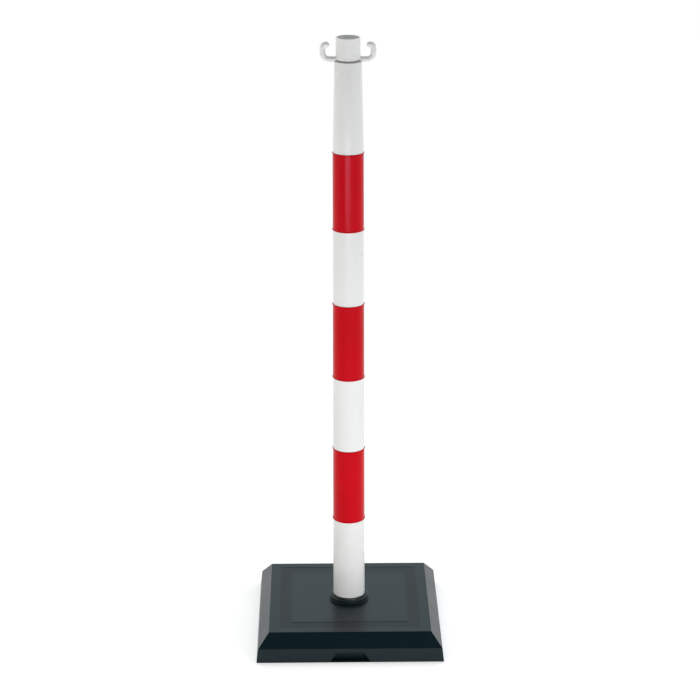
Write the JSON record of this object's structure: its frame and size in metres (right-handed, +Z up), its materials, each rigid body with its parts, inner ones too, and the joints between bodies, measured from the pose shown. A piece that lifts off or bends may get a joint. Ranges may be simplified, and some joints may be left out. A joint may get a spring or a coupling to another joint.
{
  "type": "plastic chain stanchion",
  "caption": "Free-standing plastic barrier post with red and white bands, a weighted square base and a turning two-hook head for chain.",
  "frame": {"origin": "on the floor under the pole's axis, which is also the middle of the square base", "axes": "+Z up along the pole, +X towards the right hook, -Y towards the front skirt with a finger grip"},
  "size_m": [0.276, 0.276, 0.9009],
  "materials": {
    "base_plastic": "moulded, satin, dark blue-grey",
    "concrete": "cast concrete, hidden",
    "plate_plastic": "moulded, fine texture",
    "screw_steel": "zinc plated",
    "foot_rubber": "matt",
    "collar_plastic": "smooth, glossy, near black",
    "white_plastic": "smooth, soft gloss",
    "red_film": "self-adhesive film, soft gloss",
    "plug_plastic": "moulded",
    "head_plastic": "moulded, soft gloss"
  },
  "bodies": {
    "base": {"base_shell": "base_plastic", "ballast_block": "concrete", "bottom_plate": "plate_plastic", "bottom_plate_screws": "screw_steel", "rubber_foot_front_left": "foot_rubber", "rubber_foot_front_right": "foot_rubber", "rubber_foot_rear_left": "foot_rubber", "rubber_foot_rear_right": "foot_rubber"},
    "collar": {"pole_collar": "collar_plastic", "collar_washer": "screw_steel", "collar_screw": "screw_steel"},
    "pole": {"pole_tube": "white_plastic", "red_band_lower": "red_film", "red_band_middle": "red_film", "red_band_upper": "red_film", "pole_foot_plug": "plug_plastic", "pole_top_plug": "plug_plastic"},
    "head": {"hook_head": "head_plastic"}
  },
  "joints": [
    {"name": "pole_turn", "type": "hinge", "parent": "base", "child": "collar", "pos_m": [0, 0, 0.025], "axis": [0, 0, 1], "continuous": true},
    {"name": "pole_lift", "type": "slide", "parent": "collar", "child": "pole", "axis": [0, 0, 1], "range_m": [0, 0.06]},
    {"name": "head_turn", "type": "hinge", "parent": "pole", "child": "head", "pos_m": [0, 0, 0.855], "axis": [0, 0, 1], "continuous": true}
  ]
}
